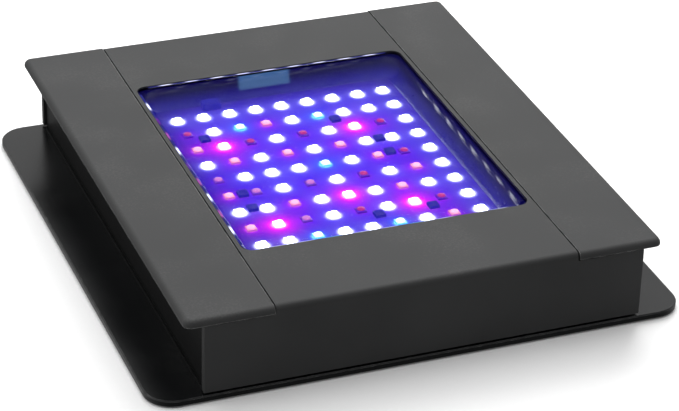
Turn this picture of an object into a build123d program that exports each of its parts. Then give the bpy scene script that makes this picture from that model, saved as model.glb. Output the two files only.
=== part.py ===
"""LED aquarium light, lying on its mounting plate with the light window up.

Millimetres. +Z up, the window faces +Z, the front wall faces -Y. The origin is the middle of the
mounting plate's underside. In use the lamp hangs the other way up, over the water.
"""
from build123d import *
import math
import os

os.makedirs("parts", exist_ok=True)

# ---------------------------------------------------------------- driving dimensions
# Outer size
HEIGHT = 31.7            # plate underside to the top of the covers
DEPTH = 197.2            # front wall face to back wall face
DEPTH_PROUD = 0.6        # the plate and the wings stand this far past the front and back walls
PLATE_PROUD = 18.9       # the plate reaches this far past the side walls
PLATE_THICK = 2.5
PLATE_CORNER = 10.0
EDGE_EASE = 0.4          # small break on the cut edges of the sheets

# Centre cover and wings
SHEET = 2.5              # cover and wing sheet
BEND = 2.0               # outside radius of the folds and of the wings' rounded ends
WINDOW_RIM = 1.45        # strip of the centre panel at each side of the window
SEAM = 0.5               # gap between the centre panel and each wing
WING_OVERHANG = 7.6      # each wing reaches this far past the side wall
WING_CORNER = 2.8
WALL_PROUD = 0.9         # the front and back walls reach this far past the side walls
WALL_FOOT_GAP = 0.8      # open gap between those walls and the plate
WALL_HEAD_GAP = 0.6      # open gap between those walls and the wings

# Window, lens and reflector
WINDOW_MARGIN_X = 10.03  # from the outermost LEDs to the edge of the window
WINDOW_MARGIN_Y = 13.55
WINDOW_CORNER = 4.0
LENS_GAP = 0.2           # all round, between the lens and the window
LENS_THICK = 2.9
LENS_DROP = 0.4          # lens face below the cover face
LENS_EASE = 0.2          # broken edge round the lens face
GASKET_WIDTH = 4.4
REFLECTOR_SHEET = 0.8
REFLECTOR_LEDGE = 0.7    # shelf that carries the lens
REFLECTOR_FLANGE = 4.6   # flange round the outside of the reflector's mouth
COVE_FOOT = 0.25         # the cove's lowest line, below the top of the board
COVE_HEAD = 0.4          # upright strip between the cove and the lens
MOUTH_EASE = 0.25        # the mouth's corner radius, over the cove's own

# Light board
BOARD_RIM_X = 5.2        # the board reaches this far past the window, under the cover
BOARD_RIM_Y = 7.0
BOARD_THICK = 1.6
BOARD_CORNER = 3.0
PITCH_X = 10.13
PITCH_Y = 11.8
LED_SIDE = 3.5
LED_BASE = 0.7
LED_DOME_R = 1.55
LED_DOME_RISE = 0.85
LED_DROP = 10.2          # top of the board, below the face of the cover
PAD_THICK = 0.5

# Heatsink
SINK_BASE = 3.5
FIN_THICK = 1.4
FIN_COUNT = 18
FIN_MARGIN = 3.0         # bare strip of the base beside the outermost fins
FIN_GAP = 1.7            # between the fins' tips and the plate
FAN_ROOM = 1.0           # clearance round the fan in its pocket in the fins

# Fan
FAN_SIDE = 60.0
FAN_DEPTH = 10.0
FAN_HOLE_INSET = 5.0
FAN_RIM = 1.6            # thinnest wall round the bore
FAN_TIP_GAP = 0.9
FAN_HUB_R = 12.4
FAN_BLADES = 7
FAN_SHAFT_R = 1.5
FAN_SHAFT_GAP = 0.05
FAN_STRUT = 1.6
FAN_CORNER = 4.0

# Side rails
DRIVER_BAY = 18.1        # between the light board and each side wall
RAIL_WEB = 1.8
RAIL_FOOT = 0.7          # small lip along the bottom outside edge
RAIL_FOOT_HIGH = 1.0
RAIL_FLANGE = 8.0        # inward flanges, top and bottom
RAIL_FLANGE_THICK = 2.0
RAIL_END_GAP = 1.2       # open slot between the rail's end and the front or back wall
RAIL_SCREW_INSET = 16.9  # outermost screws, from the rail's ends
STUD_INSET = 24.9

# Fasteners
M3_R = 1.5
M3_HEAD_R = 2.8
M3_SINK_DEEP = 1.5       # countersunk head
M3_PAN_HIGH = 1.8
M3_PAN_ROUND = 0.72
M3_SOCKET_FLATS = 2.0
M3_SOCKET_DEEP = 1.05
M3_CLEAR_R = 1.6
M3_NUT_FLATS = 5.5
M3_NUT_HIGH = 2.4
STUD_LENGTH = 5.2
HANGER_BORE_R = 1.65     # M4 thread
HANGER_SHANK_R = 2.7
HANGER_HEAD_R = 4.0
HANGER_HEAD_HIGH = 2.0
HANGER_X = 46.0
HANGER_INSET = 12.1      # from the inside of the front and back walls

# Power inlet
INLET_ASIDE = 0.55       # the inlet stands this far inwards of the driver's middle line
INLET_R = 5.5
INLET_FLANGE_R = 6.6
INLET_LENGTH = 15.0
INLET_NUT_FLATS = 13.0
INLET_NUT_HIGH = 2.5
INLET_SOCKET_R = 2.8
INLET_SOCKET_DEEP = 9.0
INLET_PIN_R = 1.0
INLET_PIN_INSET = 1.0

# Driver board
DRIVER_WIDTH = 14.0
DRIVER_LENGTH = 120.0
DRIVER_THICK = 1.6
DRIVER_LIFT = 4.5
DRIVER_SPACER_R = 2.4
TERMINAL_LONG = 8.0
TERMINAL_WIDE = 8.0
TERMINAL_HIGH = 8.0
TERMINAL_WELL_R = 1.3
TERMINAL_WELL_DEEP = 1.5
TERMINAL_YS = (-DRIVER_LENGTH / 2 + TERMINAL_LONG / 2, 45.0)

# Wires
LED_LEAD_R = 0.45
LED_LEAD_STEP = 1.0      # each LED lead, above or below the middle of its plug
LED_LEAD_BEND = 2.7
POWER_LEAD_R = 0.6
POWER_LEAD_STEP = 2.0    # each power lead, from the inlet's middle line
POWER_LEAD_HIGH = 2.4    # where they enter the terminal, above the driver board
POWER_LEAD_BEND = 12.0
FAN_LEAD_R = 0.6
FAN_LEAD_HIGH = 7.5      # above the plate
FAN_LEAD_PAST = 10.5     # the lead turns this far past the ends of the fins
FAN_LEAD_BEND = 8.0

CUT = 1.0                # cutting tools reach this far past the faces they cut

# ---------------------------------------------------------------- worked-out places
LED_ROWS = 9
LED_FOOT_Z = HEIGHT - LED_DROP
WINDOW_HALF_X = (LED_ROWS - 1) / 2 * PITCH_X + LED_SIDE / 2 + WINDOW_MARGIN_X
WINDOW_HALF_Y = (LED_ROWS - 1) / 2 * PITCH_Y + LED_SIDE / 2 + WINDOW_MARGIN_Y
CENTRE_HALF = WINDOW_HALF_X + WINDOW_RIM
BOARD_HALF_X = WINDOW_HALF_X + BOARD_RIM_X
BOARD_HALF_Y = WINDOW_HALF_Y + BOARD_RIM_Y

RAIL_INNER = BOARD_HALF_X + DRIVER_BAY
RAIL_FACE = RAIL_INNER + RAIL_WEB
WALL_HALF = RAIL_FACE + WALL_PROUD
WING_EDGE = RAIL_FACE + WING_OVERHANG
WING_DEPTH = DEPTH + 2 * DEPTH_PROUD
PLATE_WIDTH = 2 * (RAIL_FACE + PLATE_PROUD)
PLATE_DEPTH = DEPTH + 2 * DEPTH_PROUD

COVER_UNDER_Z = HEIGHT - SHEET
WALL_FRONT_Y = DEPTH / 2
WALL_INNER_Y = WALL_FRONT_Y - SHEET
WALL_FOOT_Z = PLATE_THICK + WALL_FOOT_GAP
WALL_HEAD_Z = COVER_UNDER_Z - WALL_HEAD_GAP
WALL_MID_Z = (WALL_FOOT_Z + WALL_HEAD_Z) / 2

LENS_TOP_Z = HEIGHT - LENS_DROP
LENS_UNDER_Z = LENS_TOP_Z - LENS_THICK
MOUTH_HALF_X = WINDOW_HALF_X - LENS_GAP - REFLECTOR_LEDGE
MOUTH_HALF_Y = WINDOW_HALF_Y - LENS_GAP - REFLECTOR_LEDGE

BOARD_UNDER_Z = LED_FOOT_Z - BOARD_THICK
SINK_TOP_Z = BOARD_UNDER_Z - PAD_THICK
SINK_UNDER_Z = SINK_TOP_Z - SINK_BASE
COVE_R = LENS_UNDER_Z - LED_FOOT_Z + COVE_FOOT - COVE_HEAD
MOUTH_CORNER = COVE_R + MOUTH_EASE
COVE_RUN = COVE_R - math.sqrt(COVE_R ** 2 - (COVE_R - COVE_FOOT) ** 2)   # mouth to foot, across
FIN_TIP_Z = PLATE_THICK + FIN_GAP
FIN_STEP = (2 * (BOARD_HALF_X - FIN_MARGIN) - FIN_THICK) / (FIN_COUNT - 1)
FIN_FIRST_X = FIN_MARGIN - BOARD_HALF_X
FAN_HOLE_PITCH = FAN_SIDE - 2 * FAN_HOLE_INSET
FAN_BORE_R = FAN_SIDE / 2 - FAN_RIM

SINK_HALF_Y = BOARD_HALF_Y
LUG_OUT = 5.0            # screw lugs on the heatsink's ends
LUG_INSET = 12.0
LUG_Y = SINK_HALF_Y + LUG_OUT
LUG_X = BOARD_HALF_X - LUG_INSET
LUG_R = 4.0

RAIL_HALF_LENGTH = WALL_INNER_Y - RAIL_END_GAP
RAIL_SCREW_X = RAIL_INNER - RAIL_FLANGE / 2
RAIL_SCREW_YS = [t * (RAIL_HALF_LENGTH - RAIL_SCREW_INSET) for t in (-1, 0, 1)]
STUD_YS = [t * (RAIL_HALF_LENGTH - STUD_INSET) for t in (-1, 0, 1)]
HANGER_Y = WALL_INNER_Y - HANGER_INSET

BRACKET_WIDTH = 12.0
BRACKET_THICK = 1.5
BRACKET_FOOT = 11.0
BRACKET_HIGH = 5.5
BRACKET_X = 60.0
BRACKET_SCREW_INSET = 4.0
BRACKET_SCREW_Y = WALL_INNER_Y - BRACKET_FOOT + BRACKET_SCREW_INSET

BOARD_SCREW_INSET_X = 3.6
BOARD_SCREW_INSET_Y = 4.0
BOARD_SCREW_X = BOARD_HALF_X - BOARD_SCREW_INSET_X
BOARD_SCREW_Y = BOARD_HALF_Y - BOARD_SCREW_INSET_Y
BOARD_SCREWS = [(x * BOARD_SCREW_X, y * BOARD_SCREW_Y) for x in (-1, 1) for y in (-1, 0, 1)]

DRIVER_X = (BOARD_HALF_X + RAIL_INNER) / 2
INLET_X = DRIVER_X - INLET_ASIDE
DRIVER_Z = PLATE_THICK + DRIVER_LIFT
DRIVER_TOP_Z = DRIVER_Z + DRIVER_THICK
DRIVER_SPACER_INSET = 0.4
DRIVER_SPACER_X = DRIVER_X - DRIVER_WIDTH / 2 + DRIVER_SPACER_R + DRIVER_SPACER_INSET
DRIVER_SPACER_YS = (-44.0, 0.0, 54.0)
INLET_Z = WALL_MID_Z


# ---------------------------------------------------------------- helpers
def block(x0, x1, y0, y1, z0, z1):
    """A box between two corners."""
    low = (min(x0, x1), min(y0, y1), min(z0, z1))
    size = (abs(x1 - x0), abs(y1 - y0), abs(z1 - z0))
    return Pos(*low) * Box(*size, align=(Align.MIN, Align.MIN, Align.MIN))


def rod(x, y, z0, z1, r):
    """An upright cylinder between two heights."""
    return Pos(x, y, z0) * Cylinder(r, z1 - z0, align=(Align.CENTER, Align.CENTER, Align.MIN))


def slab(half_x, half_y, corner, z0, z1):
    """A flat plate with round corners, centred on the lamp's axis."""
    outline = RectangleRounded(2 * half_x, 2 * half_y, corner)
    return Pos(0, 0, z0) * extrude(outline, z1 - z0)


def hexagon(x, y, z0, z1, flats):
    """An upright six-sided bar."""
    outline = RegularPolygon(flats / 2, 6, major_radius=False)
    return Pos(x, y, z0) * extrude(outline, z1 - z0)


def joined(solids):
    """One shape out of touching or overlapping solids."""
    solids = list(solids)
    shape = solids[0]
    for solid in solids[1:]:
        shape = shape + solid
    return shape


def group(solids):
    """Separate solids that share one node."""
    return Compound(children=[s for shape in solids for s in shape.solids()])


def save(shape, node):
    export_step(shape, f"parts/{node}.step")
    print(f"{node:22s} {len(shape.solids()):3d} solids  {shape.volume:10.1f} mm3")


def mirrored(shape):
    """The same piece on the lamp's other side."""
    return mirror(shape, about=Plane.YZ)


# ---------------------------------------------------------------- fasteners
def sunk_screw(x, y, length):
    """A countersunk screw that goes up through the plate, its head flush with the underside."""
    head = Pos(x, y, 0) * Cone(M3_HEAD_R, M3_R, M3_SINK_DEEP, align=(Align.CENTER, Align.CENTER, Align.MIN))
    shank = rod(x, y, M3_SINK_DEEP, length, M3_R)
    socket = hexagon(x, y, 0, M3_SOCKET_DEEP, M3_SOCKET_FLATS)
    return head + shank - socket


def sunk_hole(x, y):
    """The countersunk hole in the plate for such a screw."""
    cone = Pos(x, y, 0) * Cone(M3_HEAD_R, M3_R, M3_SINK_DEEP, align=(Align.CENTER, Align.CENTER, Align.MIN))
    return cone + rod(x, y, 0, PLATE_THICK, M3_CLEAR_R)


def pan_screw(x, y, seat_z, length):
    """A pan-head screw driven downwards from seat_z."""
    head = rod(x, y, seat_z, seat_z + M3_PAN_HIGH, M3_HEAD_R)
    head = fillet(head.faces().sort_by(Axis.Z)[-1].edges(), M3_PAN_ROUND)
    shank = rod(x, y, seat_z - length, seat_z, M3_R)
    top = seat_z + M3_PAN_HIGH
    socket = hexagon(x, y, top - M3_SOCKET_DEEP, top, M3_SOCKET_FLATS)
    return head + shank - socket


HANGERS = [(x * HANGER_X, y * HANGER_Y) for x in (-1, 1) for y in (-1, 1)]
RAIL_SCREWS = [(s * RAIL_SCREW_X, y) for s in (-1, 1) for y in RAIL_SCREW_YS]
BRACKET_SCREWS = [(s * BRACKET_X, t * BRACKET_SCREW_Y) for s in (-1, 1) for t in (-1, 1)]
LUGS = [(s * LUG_X, t * LUG_Y) for s in (-1, 1) for t in (-1, 1)]
FAN_SCREWS = [(s * FAN_HOLE_PITCH / 2, t * FAN_HOLE_PITCH / 2) for s in (-1, 1) for t in (-1, 1)]
DRIVER_SPACERS = [(DRIVER_SPACER_X, y) for y in DRIVER_SPACER_YS]


# ---------------------------------------------------------------- mounting plate
GRILLE_INSET = 1.5
GRILLE_SLOT = 2.6
GRILLE_STEP = 4.4
GRILLE_RIB = 3.0


def intake_grille():
    """Rings of curved slots over the fan, crossed by four ribs."""
    rings = []
    radius = FAN_BORE_R - GRILLE_INSET
    while radius - GRILLE_SLOT > FAN_HUB_R:
        rings.append(rod(0, 0, 0, PLATE_THICK, radius) - rod(0, 0, 0, PLATE_THICK, radius - GRILLE_SLOT))
        radius -= GRILLE_STEP
    slots = joined(rings)
    reach = 2 * FAN_BORE_R
    rib = block(-reach, reach, -GRILLE_RIB / 2, GRILLE_RIB / 2, 0, PLATE_THICK)
    for angle in (45, 135):
        slots = slots - Rot(0, 0, angle) * rib
    return slots


def base_plate():
    plate = slab(PLATE_WIDTH / 2, PLATE_DEPTH / 2, PLATE_CORNER, 0, PLATE_THICK)
    rims = plate.faces().sort_by(Axis.Z)[0].edges() + plate.faces().sort_by(Axis.Z)[-1].edges()
    plate = chamfer(rims, EDGE_EASE)
    plate = plate - intake_grille()
    for x, y in RAIL_SCREWS + BRACKET_SCREWS + LUGS + FAN_SCREWS + DRIVER_SPACERS:
        plate = plate - sunk_hole(x, y)
    for x, y in HANGERS:
        plate = plate - rod(x, y, 0, PLATE_THICK, HANGER_SHANK_R)
    return plate


def hanger_nuts():
    """Press-in M4 nuts that take the hanging kit."""
    nuts = []
    for x, y in HANGERS:
        nut = rod(x, y, 0, PLATE_THICK, HANGER_SHANK_R)
        nut = nut + rod(x, y, PLATE_THICK, PLATE_THICK + HANGER_HEAD_HIGH, HANGER_HEAD_R)
        nuts.append(nut - rod(x, y, 0, PLATE_THICK + HANGER_HEAD_HIGH, HANGER_BORE_R))
    return group(nuts)


save(base_plate(), "base_plate")
save(hanger_nuts(), "hanger_nuts")


# ---------------------------------------------------------------- side rails
def side_rail():
    """The right-hand side wall: an upright web with an inward flange at each end."""
    y0, y1 = -RAIL_HALF_LENGTH, RAIL_HALF_LENGTH
    rail = block(RAIL_INNER, RAIL_FACE, y0, y1, PLATE_THICK, COVER_UNDER_Z)
    rail = rail + block(RAIL_INNER - RAIL_FLANGE, RAIL_INNER, y0, y1,
                        PLATE_THICK, PLATE_THICK + RAIL_FLANGE_THICK)
    rail = rail + block(RAIL_INNER - RAIL_FLANGE, RAIL_INNER, y0, y1,
                        COVER_UNDER_Z - RAIL_FLANGE_THICK, COVER_UNDER_Z)
    rail = rail + block(RAIL_FACE, RAIL_FACE + RAIL_FOOT, y0, y1, PLATE_THICK, PLATE_THICK + RAIL_FOOT_HIGH)
    for y in RAIL_SCREW_YS:
        rail = rail - rod(RAIL_SCREW_X, y, PLATE_THICK, PLATE_THICK + RAIL_FLANGE_THICK, M3_R)
    for y in STUD_YS:
        rail = rail - rod(RAIL_SCREW_X, y, COVER_UNDER_Z - RAIL_FLANGE_THICK, COVER_UNDER_Z, M3_CLEAR_R)
    return rail


save(side_rail(), "right_side_rail")
save(mirrored(side_rail()), "left_side_rail")


# ---------------------------------------------------------------- centre cover
VENT_WIDTH = 2.4
VENT_HIGH = 14.0
VENT_STEP = 4.8
VENT_COUNT = 22
VENT_START_X = -56.0


def folded_wall(sign):
    """The front (-1) or back (+1) wall, with the fold that joins it to the centre panel."""
    face, inner = sign * WALL_FRONT_Y, sign * WALL_INNER_Y
    wall = block(-WALL_HALF, WALL_HALF, inner, face, WALL_FOOT_Z, WALL_HEAD_Z)
    neck = block(-CENTRE_HALF, CENTRE_HALF, inner, face, WALL_HEAD_Z - CUT, HEIGHT)
    crest = neck.edges().filter_by(Axis.X).sort_by(Axis.Z)[-2:].sort_by(Axis.Y)[-1 if sign > 0 else 0]
    return wall + fillet(crest, BEND)


def centre_cover():
    cover = block(-CENTRE_HALF, CENTRE_HALF, -WALL_INNER_Y, WALL_INNER_Y, COVER_UNDER_Z, HEIGHT)
    cover = cover + folded_wall(-1) + folded_wall(1)
    cover = cover - slab(WINDOW_HALF_X, WINDOW_HALF_Y, WINDOW_CORNER, COVER_UNDER_Z - CUT, HEIGHT + CUT)
    for i in range(VENT_COUNT):
        x = VENT_START_X + i * VENT_STEP
        vent = SlotOverall(VENT_HIGH, VENT_WIDTH)
        vent = Plane.XZ.offset(-WALL_FRONT_Y - CUT) * Pos(x, WALL_MID_Z) * Rot(0, 0, 90) * vent
        cover = cover - extrude(vent, SHEET + 2 * CUT)
    hole = Plane.XZ.offset(-WALL_FRONT_Y - CUT) * Pos(INLET_X, INLET_Z) * Circle(INLET_R)
    return cover - extrude(hole, SHEET + 2 * CUT)


def cover_brackets():
    """Angle brackets welded inside the front and back walls and screwed to the plate."""
    brackets = []
    for s in (-1, 1):
        for t in (-1, 1):
            x0, x1 = s * BRACKET_X - BRACKET_WIDTH / 2, s * BRACKET_X + BRACKET_WIDTH / 2
            wall_y = t * WALL_INNER_Y
            foot = block(x0, x1, wall_y, t * (WALL_INNER_Y - BRACKET_FOOT),
                         PLATE_THICK, PLATE_THICK + BRACKET_THICK)
            leg = block(x0, x1, wall_y, t * (WALL_INNER_Y - BRACKET_THICK),
                        PLATE_THICK, PLATE_THICK + BRACKET_HIGH)
            hole = rod(s * BRACKET_X, t * BRACKET_SCREW_Y, PLATE_THICK, PLATE_THICK + BRACKET_THICK, M3_R)
            brackets.append(foot + leg - hole)
    return group(brackets)


save(centre_cover(), "centre_cover")
save(cover_brackets(), "cover_brackets")


# ---------------------------------------------------------------- wings
def wing():
    """The right-hand top panel: a flat sheet, rounded over at its front and back ends."""
    x0, x1 = CENTRE_HALF + SEAM, WING_EDGE
    panel = block(x0, x1, -WING_DEPTH / 2, WING_DEPTH / 2, COVER_UNDER_Z, HEIGHT)
    corners = panel.edges().filter_by(Axis.Z).sort_by(Axis.X)[-2:]
    panel = fillet(corners, WING_CORNER)
    ends = panel.faces().sort_by(Axis.Z)[-1].edges().filter_by(Axis.X)
    panel = fillet(ends, BEND)
    return panel


def wing_studs():
    """Threaded studs under the wings."""
    spots = [(s * RAIL_SCREW_X, y) for s in (-1, 1) for y in STUD_YS]
    return group(rod(x, y, COVER_UNDER_Z - STUD_LENGTH, COVER_UNDER_Z, M3_R) for x, y in spots)


def wing_nuts():
    """Nuts on those studs, under the rails' top flanges."""
    top = COVER_UNDER_Z - RAIL_FLANGE_THICK
    nuts = []
    for s in (-1, 1):
        for y in STUD_YS:
            nut = hexagon(s * RAIL_SCREW_X, y, top - M3_NUT_HIGH, top, M3_NUT_FLATS)
            nuts.append(nut - rod(s * RAIL_SCREW_X, y, top - M3_NUT_HIGH, top, M3_R))
    return group(nuts)


save(wing(), "right_wing")
save(mirrored(wing()), "left_wing")
save(wing_studs(), "wing_studs")
save(wing_nuts(), "wing_nuts")


# ---------------------------------------------------------------- lens, gasket and reflector
def window_lens():
    """A clear sheet that sits in the window on the reflector's ledge."""
    lens = slab(WINDOW_HALF_X - LENS_GAP, WINDOW_HALF_Y - LENS_GAP, WINDOW_CORNER - LENS_GAP,
                LENS_UNDER_Z, LENS_TOP_Z)
    rim = lens.faces().sort_by(Axis.Z)[-1].edges()
    return chamfer(rim, LENS_EASE)


def lens_gasket():
    """A rubber frame between the reflector's flange and the underside of the cover."""
    corner = WINDOW_CORNER
    outer = slab(WINDOW_HALF_X + GASKET_WIDTH, WINDOW_HALF_Y + GASKET_WIDTH, corner + GASKET_WIDTH,
                 LENS_UNDER_Z, COVER_UNDER_Z)
    return outer - slab(WINDOW_HALF_X, WINDOW_HALF_Y, corner, LENS_UNDER_Z, COVER_UNDER_Z)


def tub(grow):
    """The space inside the reflector, made wider all round by grow: its foot is rounded by the cove."""
    space = slab(MOUTH_HALF_X + grow, MOUTH_HALF_Y + grow, MOUTH_CORNER + grow,
                 LED_FOOT_Z - COVE_FOOT - grow, LENS_UNDER_Z)
    return fillet(space.faces().sort_by(Axis.Z)[0].edges(), COVE_R + grow)


def light_reflector():
    """A gloss cove that curves up from the light board to the lens, with a flange that carries the lens."""
    half_x = WINDOW_HALF_X + REFLECTOR_FLANGE
    half_y = WINDOW_HALF_Y + REFLECTOR_FLANGE
    flange = slab(half_x, half_y, WINDOW_CORNER + REFLECTOR_FLANGE,
                  LENS_UNDER_Z - REFLECTOR_SHEET, LENS_UNDER_Z)
    below_board = block(-half_x, half_x, -half_y, half_y, 0, LED_FOOT_Z)
    return flange + (tub(REFLECTOR_SHEET) - below_board) - tub(0)


save(window_lens(), "window_lens")
save(lens_gasket(), "lens_gasket")
save(light_reflector(), "light_reflector")

# ---------------------------------------------------------------- light board
# One letter for each LED: rows run from the back, columns from the left.
# w white, p pink, v violet, d deep red, r red, c cyan
LED_LAYOUT = ("wwwwwwwww",
              "rwcpwcwww",
              "pdrwrwdrw",
              "wpwpwpwww",
              "vwwwcwprw",
              "pvwvwrwpw",
              "wwpwdwpww",
              "pdvwrwdrw",
              "wwcwwcwpw")
LED_NODES = {"w": "white_leds", "p": "pink_leds", "v": "violet_leds",
             "d": "deep_red_leds", "r": "red_leds", "c": "cyan_leds"}
CHIP_SIDE = 3.6
CHIP_HIGH = 1.1
# Column and row of each chip, counted like the LEDs' own, halfway between two columns.
CHIP_CELLS = ((1.5, 2.4), (6.5, 2.4), (7.5, 4.0), (7.5, 4.9), (1.5, 6.0), (1.5, 6.9), (5.5, 8.4), (7.5, 8.4))


def cell(column, row):
    """The place of a column and row on the board, counted from 1 at the back left."""
    middle = (LED_ROWS + 1) / 2
    return (column - middle) * PITCH_X, (middle - row) * PITCH_Y


def led(x, y):
    """One LED: a square package with a low dome."""
    package = block(x - LED_SIDE / 2, x + LED_SIDE / 2, y - LED_SIDE / 2, y + LED_SIDE / 2,
                    LED_FOOT_Z, LED_FOOT_Z + LED_BASE)
    ball_r = (LED_DOME_R ** 2 + LED_DOME_RISE ** 2) / (2 * LED_DOME_RISE)
    ball = Pos(x, y, LED_FOOT_Z + LED_BASE + LED_DOME_RISE - ball_r) * Sphere(ball_r)
    dome = ball & rod(x, y, LED_FOOT_Z + LED_BASE / 2, LED_FOOT_Z + LED_BASE + LED_DOME_RISE, LED_DOME_R)
    return package + dome


def led_board():
    board = slab(BOARD_HALF_X, BOARD_HALF_Y, BOARD_CORNER, BOARD_UNDER_Z, LED_FOOT_Z)
    for x, y in BOARD_SCREWS:
        board = board - rod(x, y, BOARD_UNDER_Z, LED_FOOT_Z, M3_CLEAR_R)
    return board


def board_chips():
    chips = []
    for column, row in CHIP_CELLS:
        x, y = cell(column, row)
        chip = block(x - CHIP_SIDE / 2, x + CHIP_SIDE / 2, y - CHIP_SIDE / 2, y + CHIP_SIDE / 2,
                     LED_FOOT_Z, LED_FOOT_Z + CHIP_HIGH)
        chips.append(chip)
    return group(chips)


SENSOR_LONG = 7.0
SENSOR_WIDE = 4.0
SENSOR_HIGH = 2.6
SENSOR_COLUMN = 2.5
SENSOR_GAP = 0.5         # between the sensor and the reflector's foot
SENSOR_ROUND = 0.6


def temperature_sensor():
    """A small block on the board's back margin, in line with the gap between two LED columns."""
    x, _ = cell(SENSOR_COLUMN, 1)
    y1 = MOUTH_HALF_Y - COVE_RUN - SENSOR_GAP
    body = block(x - SENSOR_LONG / 2, x + SENSOR_LONG / 2, y1 - SENSOR_WIDE, y1,
                 LED_FOOT_Z, LED_FOOT_Z + SENSOR_HIGH)
    return fillet(body.edges().filter_by(Axis.Z), SENSOR_ROUND)


CONNECTOR_LONG = 12.0
CONNECTOR_WIDE = 5.0
CONNECTOR_HIGH = 4.0
CONNECTOR_Y = TERMINAL_YS[1]


def led_connector():
    """The plug block at the board's right-hand edge, outside the reflector."""
    x1 = BOARD_HALF_X
    return block(x1 - CONNECTOR_WIDE, x1, CONNECTOR_Y - CONNECTOR_LONG / 2, CONNECTOR_Y + CONNECTOR_LONG / 2,
                 LED_FOOT_Z, LED_FOOT_Z + CONNECTOR_HIGH)


def thermal_pad():
    pad = slab(BOARD_HALF_X, BOARD_HALF_Y, BOARD_CORNER, SINK_TOP_Z, BOARD_UNDER_Z)
    for x, y in BOARD_SCREWS:
        pad = pad - rod(x, y, SINK_TOP_Z, BOARD_UNDER_Z, M3_CLEAR_R)
    return pad


SCREW_END_GAP = 0.5
BOARD_SCREW_LENGTH = BOARD_THICK + PAD_THICK + SINK_BASE - SCREW_END_GAP

save(led_board(), "led_board")
for letter, node in LED_NODES.items():
    places = [cell(column + 1, row + 1) for row, line in enumerate(LED_LAYOUT)
              for column, mark in enumerate(line) if mark == letter]
    save(group(led(x, y) for x, y in places), node)
save(board_chips(), "board_chips")
save(temperature_sensor(), "temperature_sensor")
save(led_connector(), "led_connector")
save(thermal_pad(), "thermal_pad")
save(group(pan_screw(x, y, LED_FOOT_Z, BOARD_SCREW_LENGTH) for x, y in BOARD_SCREWS), "board_screws")


# ---------------------------------------------------------------- heatsink
FIN_ROOT = 0.1           # the fins run this far into the base, so that they join
LUG_ARM = 2.0            # and the lugs' arms this far into its ends


def heatsink():
    """A flat base with fins that hang towards the plate, and a pocket in the fins for the fan."""
    sink = slab(BOARD_HALF_X, SINK_HALF_Y, BOARD_CORNER, SINK_UNDER_Z, SINK_TOP_Z)
    fins = []
    for i in range(FIN_COUNT):
        x = FIN_FIRST_X + i * FIN_STEP
        fins.append(block(x, x + FIN_THICK, -SINK_HALF_Y, SINK_HALF_Y, FIN_TIP_Z, SINK_UNDER_Z + FIN_ROOT))
    half = FAN_SIDE / 2 + FAN_ROOM
    pocket = block(-half, half, -half, half, 0, PLATE_THICK + FAN_DEPTH + FAN_ROOM)
    sink = sink + joined(f - pocket for f in fins)
    for x, y in LUGS:
        arm = block(x - LUG_R, x + LUG_R, math.copysign(SINK_HALF_Y - LUG_ARM, y), y,
                    SINK_UNDER_Z, SINK_TOP_Z)
        sink = sink + arm + rod(x, y, SINK_UNDER_Z, SINK_TOP_Z, LUG_R)
        sink = sink - rod(x, y, SINK_UNDER_Z, SINK_TOP_Z, M3_CLEAR_R)
    for x, y in BOARD_SCREWS:
        sink = sink - rod(x, y, SINK_UNDER_Z, SINK_TOP_Z, M3_R)
    return sink


def heatsink_standoffs():
    """Six-sided pillars between the plate and the heatsink's lugs."""
    pillars = []
    for x, y in LUGS:
        pillar = hexagon(x, y, PLATE_THICK, SINK_UNDER_Z, M3_NUT_FLATS)
        pillars.append(pillar - rod(x, y, PLATE_THICK, SINK_UNDER_Z, M3_R))
    return group(pillars)


PLATE_SCREW_LENGTH = PLATE_THICK + 3.5
LUG_SCREW_LENGTH = SINK_BASE + 4.0
FAN_SCREW_LENGTH = PLATE_THICK + 5.0

save(heatsink(), "heatsink")
save(heatsink_standoffs(), "heatsink_standoffs")
save(group(pan_screw(x, y, SINK_TOP_Z, LUG_SCREW_LENGTH) for x, y in LUGS), "heatsink_screws")
save(group(sunk_screw(x, y, PLATE_SCREW_LENGTH)
           for x, y in RAIL_SCREWS + BRACKET_SCREWS + LUGS + DRIVER_SPACERS), "base_screws")
save(group(sunk_screw(x, y, FAN_SCREW_LENGTH) for x, y in FAN_SCREWS), "fan_screws")

# ---------------------------------------------------------------- fan
FAN_Z0 = PLATE_THICK
FAN_Z1 = FAN_Z0 + FAN_DEPTH
STRUT_Z1 = FAN_Z0 + FAN_STRUT
HUB_TOP_GAP = 0.7
HUB_FOOT_GAP = 0.8
HUB_TOP_Z = FAN_Z1 - HUB_TOP_GAP
HUB_SKIN = 1.0
HUB_ROUND = 0.8
HUB_FOOT_Z = STRUT_Z1 + HUB_FOOT_GAP
BEARING_R = 3.0
BEARING_HEAD = 2.2       # from the top of the hub down to the sleeve
COIL_HEAD = 2.8          # and down to the coil
COIL_SLOT = 1.6
COIL_FOOT = 1.2
COIL_CORE = 1.5
COIL_R = 9.5
BLADE_TIP_R = FAN_BORE_R - FAN_TIP_GAP
BLADE_THICK = 1.2
BLADE_ROOT_PITCH = 50.0
BLADE_TIP_PITCH = 62.0
BLADE_CHORD = 9.0
BLADE_ROUND = 0.54
BLADE_ROOT = 0.9         # the blades run this far into the hub


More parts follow.
